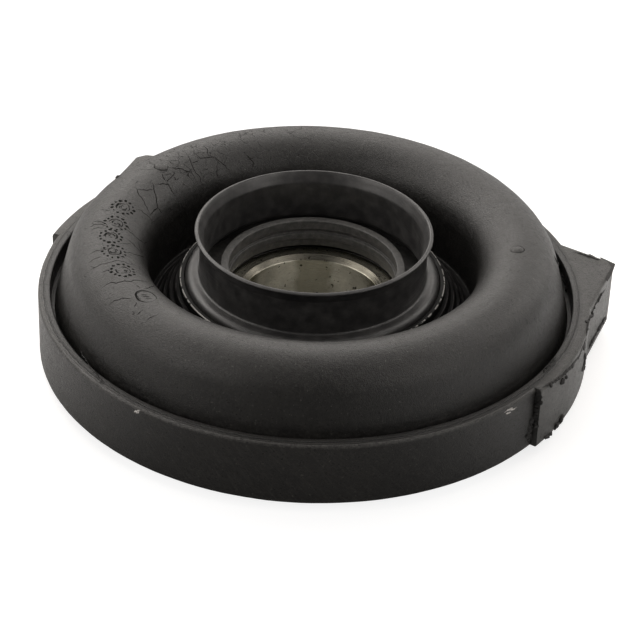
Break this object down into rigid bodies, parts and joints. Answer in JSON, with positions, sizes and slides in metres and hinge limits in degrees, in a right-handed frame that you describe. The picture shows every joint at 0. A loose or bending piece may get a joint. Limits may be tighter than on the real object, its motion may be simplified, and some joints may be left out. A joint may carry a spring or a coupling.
{
  "type": "propeller shaft centre support bearing",
  "caption": "Sealed ball bearing in a steel hub with a tall dust collar, hung in a round black rubber cushion with square ears, to carry a propeller shaft at its middle.",
  "frame": {"origin": "centre of the bearing's bore, half way along the bearing", "axes": "+Z along the shaft's axis towards the tall dust collar; +Y in the plane of the rim, midway between the cushion's two ears"},
  "size_m": [0.1206, 0.118, 0.0305],
  "materials": {
    "cushion_rubber": "satin",
    "seal_rubber": "matte",
    "bearing_seal": "matte",
    "carrier_steel": "satin",
    "collar_steel": "satin",
    "race_steel": "ground",
    "ball_steel": "polished",
    "cage_steel": "pressed"
  },
  "bodies": {
    "support": {"rubber_cushion": "cushion_rubber", "bearing_carrier": "carrier_steel", "dust_collar": "collar_steel", "shaft_seal": "seal_rubber", "outer_race": "race_steel", "bearing_seal_upper": "bearing_seal", "bearing_seal_lower": "bearing_seal"},
    "inner_race": {"inner_race": "race_steel"},
    "cage": {"cage_upper": "cage_steel", "cage_lower": "cage_steel", "cage_rivets": "cage_steel"},
    "ball_01": {"ball_01": "ball_steel"},
    "ball_02": {"ball_02": "ball_steel"},
    "ball_03": {"ball_03": "ball_steel"},
    "ball_04": {"ball_04": "ball_steel"},
    "ball_05": {"ball_05": "ball_steel"},
    "ball_06": {"ball_06": "ball_steel"},
    "ball_07": {"ball_07": "ball_steel"},
    "ball_08": {"ball_08": "ball_steel"},
    "ball_09": {"ball_09": "ball_steel"},
    "ball_10": {"ball_10": "ball_steel"},
    "ball_11": {"ball_11": "ball_steel"}
  },
  "joints": [
    {"name": "inner_race_spin", "type": "hinge", "parent": "support", "child": "inner_race", "pos_m": [0, 0, 0], "axis": [0, 0, 1], "continuous": true},
    {"name": "cage_orbit", "type": "hinge", "parent": "support", "child": "cage", "pos_m": [0, 0, 0], "axis": [0, 0, 1], "continuous": true},
    {"name": "ball_01_spin", "type": "hinge", "parent": "cage", "child": "ball_01", "pos_m": [0.02125, 0, 0], "axis": [0, 0, 1], "continuous": true},
    {"name": "ball_02_spin", "type": "hinge", "parent": "cage", "child": "ball_02", "pos_m": [0.01788, 0.01149, 0], "axis": [0, 0, 1], "continuous": true},
    {"name": "ball_03_spin", "type": "hinge", "parent": "cage", "child": "ball_03", "pos_m": [0.00883, 0.01933, 0], "axis": [0, 0, 1], "continuous": true},
    {"name": "ball_04_spin", "type": "hinge", "parent": "cage", "child": "ball_04", "pos_m": [-0.00302, 0.02103, 0], "axis": [0, 0, 1], "continuous": true},
    {"name": "ball_05_spin", "type": "hinge", "parent": "cage", "child": "ball_05", "pos_m": [-0.01392, 0.01606, 0], "axis": [0, 0, 1], "continuous": true},
    {"name": "ball_06_spin", "type": "hinge", "parent": "cage", "child": "ball_06", "pos_m": [-0.02039, 0.00599, 0], "axis": [0, 0, 1], "continuous": true},
    {"name": "ball_07_spin", "type": "hinge", "parent": "cage", "child": "ball_07", "pos_m": [-0.02039, -0.00599, 0], "axis": [0, 0, 1], "continuous": true},
    {"name": "ball_08_spin", "type": "hinge", "parent": "cage", "child": "ball_08", "pos_m": [-0.01392, -0.01606, 0], "axis": [0, 0, 1], "continuous": true},
    {"name": "ball_09_spin", "type": "hinge", "parent": "cage", "child": "ball_09", "pos_m": [-0.00302, -0.02103, 0], "axis": [0, 0, 1], "continuous": true},
    {"name": "ball_10_spin", "type": "hinge", "parent": "cage", "child": "ball_10", "pos_m": [0.00883, -0.01933, 0], "axis": [0, 0, 1], "continuous": true},
    {"name": "ball_11_spin", "type": "hinge", "parent": "cage", "child": "ball_11", "pos_m": [0.01788, -0.01149, 0], "axis": [0, 0, 1], "continuous": true}
  ],
  "couplings": [
    {"joint": "cage_orbit", "follows": "inner_race_spin", "ratio": 0.41595},
    {"joint": "ball_01_spin", "follows": "inner_race_spin", "ratio": -2.8905},
    {"joint": "ball_02_spin", "follows": "inner_race_spin", "ratio": -2.8905},
    {"joint": "ball_03_spin", "follows": "inner_race_spin", "ratio": -2.8905},
    {"joint": "ball_04_spin", "follows": "inner_race_spin", "ratio": -2.8905},
    {"joint": "ball_05_spin", "follows": "inner_race_spin", "ratio": -2.8905},
    {"joint": "ball_06_spin", "follows": "inner_race_spin", "ratio": -2.8905},
    {"joint": "ball_07_spin", "follows": "inner_race_spin", "ratio": -2.8905},
    {"joint": "ball_08_spin", "follows": "inner_race_spin", "ratio": -2.8905},
    {"joint": "ball_09_spin", "follows": "inner_race_spin", "ratio": -2.8905},
    {"joint": "ball_10_spin", "follows": "inner_race_spin", "ratio": -2.8905},
    {"joint": "ball_11_spin", "follows": "inner_race_spin", "ratio": -2.8905}
  ]
}
